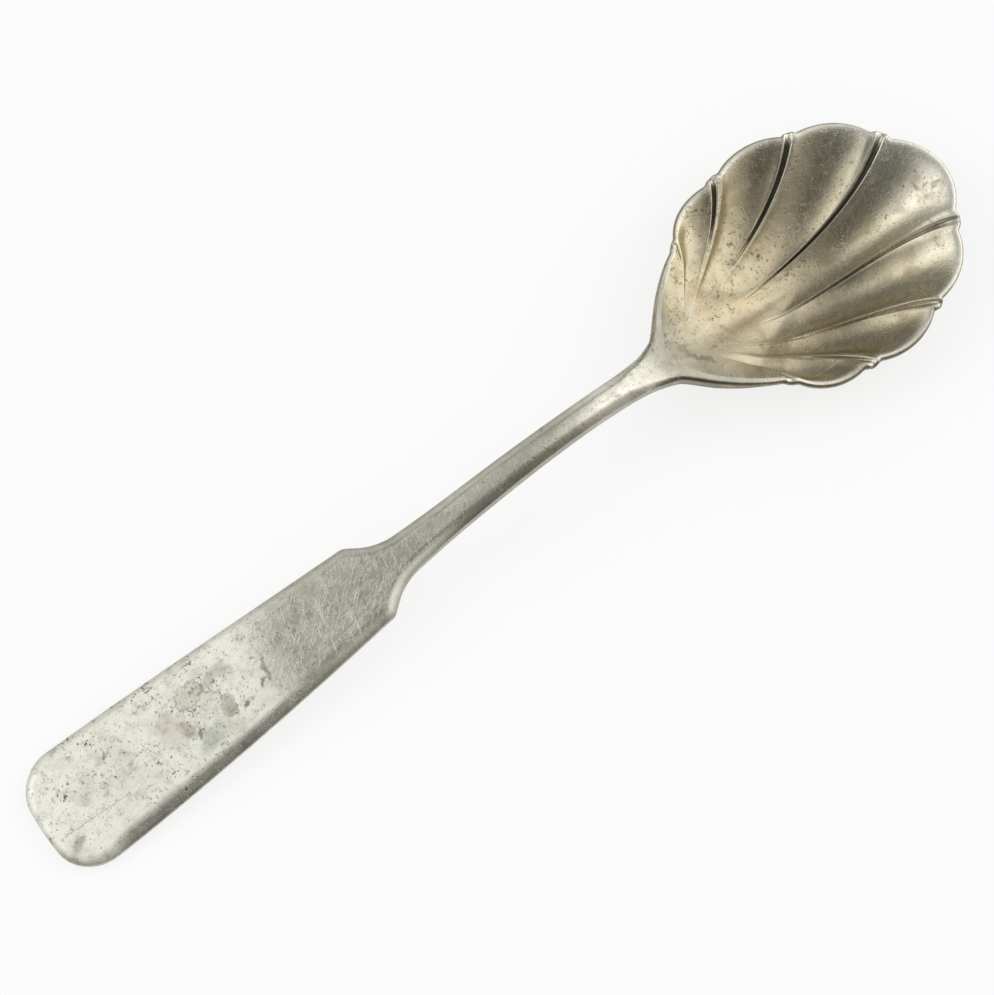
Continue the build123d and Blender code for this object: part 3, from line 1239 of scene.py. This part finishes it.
# %% [markdown]
# Bright metal is a mirror of its surroundings: in an evenly white room it would look flat and
# grey. So the studio that the spoon mirrors has two white windows and three dim sides. The
# camera sees plain white instead, and the spoon is lit by an even sky and by two soft lamps
# where the windows are.

# %% Studio
Side = namedtuple("Side", "direction soft_from soft_to")
windows = (
    Side((-0.63, 0.44, 0.64), 0.815, 0.925),
    Side((0.82, -0.26, 0.51), 0.505, 0.985),
)
dim_sides = (
    Side((-0.49, -0.23, 0.84), 0.70, 0.84),
    Side((-0.27, -0.88, 0.39), 0.30, 0.81),
    Side((0.26, 0.89, 0.37), 0.80, 0.95),
)
wall_level = 0.48
window_level = 1.6
dim_level = 0.44
sky_level = 0.8
world = bpy.data.worlds.new("studio")
bpy.context.scene.world = world
world.use_nodes = True
studio = Nodes(world.node_tree)
heading = studio.node("ShaderNodeTexCoord", {}, output="Generated")


def toward(side):
    """1 in the middle of a side of the studio, falling to 0 away from it."""
    settings = {"operation": "DOT_PRODUCT"}
    along = studio.node("ShaderNodeVectorMath", settings, heading, side.direction, output="Value")
    return along.clear(side.soft_from, side.soft_to)


white_share = toward(windows[0]).math("MAXIMUM", toward(windows[1]))
mirror_level = wall_level + white_share * (window_level - wall_level)
for dim_side in dim_sides:
    mirror_level = mirror_level * (1 - toward(dim_side) * (1 - dim_level))
seen, mirrored = seen_rays(studio)
level = seen.math("MAXIMUM", mirrored * mirror_level)
level = level + (1 - seen.math("MAXIMUM", mirrored)) * sky_level
sky = world.node_tree.nodes["Background"].inputs
studio.plug(sky["Color"], pure_white)
studio.plug(sky["Strength"], level)
print("sides of the studio:", len(windows), "white and", len(dim_sides), "dim")

# %% Lamps
lamp_distance = 0.9
lamp_size = 0.5
lamp_power = 1.5


def soft_lamp(name, place):
    """A square lamp that faces the spoon."""
    lamp = bpy.data.lights.new(name, "AREA")
    lamp.size = lamp_size
    lamp.energy = lamp_power
    lamp_object = placed(name, lamp)
    lamp_object.location = place
    lamp_object.rotation_euler = (-Vector(place)).to_track_quat("-Z", "Y").to_euler()
    lamp_object.visible_glossy = False
    return lamp_object


lamps = [
    soft_lamp(name, lamp_distance * Vector(side.direction))
    for name, side in zip(("left_window", "right_window"), windows)
]
print("lamps:", [lamp.name for lamp in lamps])

# %% [markdown]
# The camera looks down on the spoon at the photograph's angle, which was found from the spoon's
# own symmetry: drawn back from there onto the plane of the rim, its two halves are alike.

# %% Camera
view_turn = radians(38.266)
view_down = radians(69.38)
view_distance = 611.1
aim_x, aim_y = -1.90, -1.048
lens = 169.5
rim_along = Vector((cos(rim_tilt), 0, sin(rim_tilt)))
rim_up = Vector((-sin(rim_tilt), 0, cos(rim_tilt)))
rim_across = Vector((0, 1, 0))
away = sin(view_turn) * rim_along + cos(view_turn) * rim_across
right = cos(view_turn) * rim_along - sin(view_turn) * rim_across
back = rim_up * sin(view_down) - away * cos(view_down)
upward = away * sin(view_down) + rim_up * cos(view_down)
aim = Vector((aim_x, aim_y, rim_plane(aim_x)))
camera = bpy.data.cameras.new("camera")
camera.lens = lens
camera.sensor_width = 36
camera.sensor_fit = "HORIZONTAL"
camera.clip_end = 10
camera_object = placed("camera", camera)
turned = Matrix((right, upward, back)).transposed().to_4x4()
camera_object.matrix_world = Matrix.Translation((aim + back * view_distance) * MM) @ turned
bpy.context.scene.camera = camera_object
bpy.context.scene.view_settings.view_transform = "Standard"
print("camera at, mm:", [round(v / MM, 1) for v in camera_object.location])
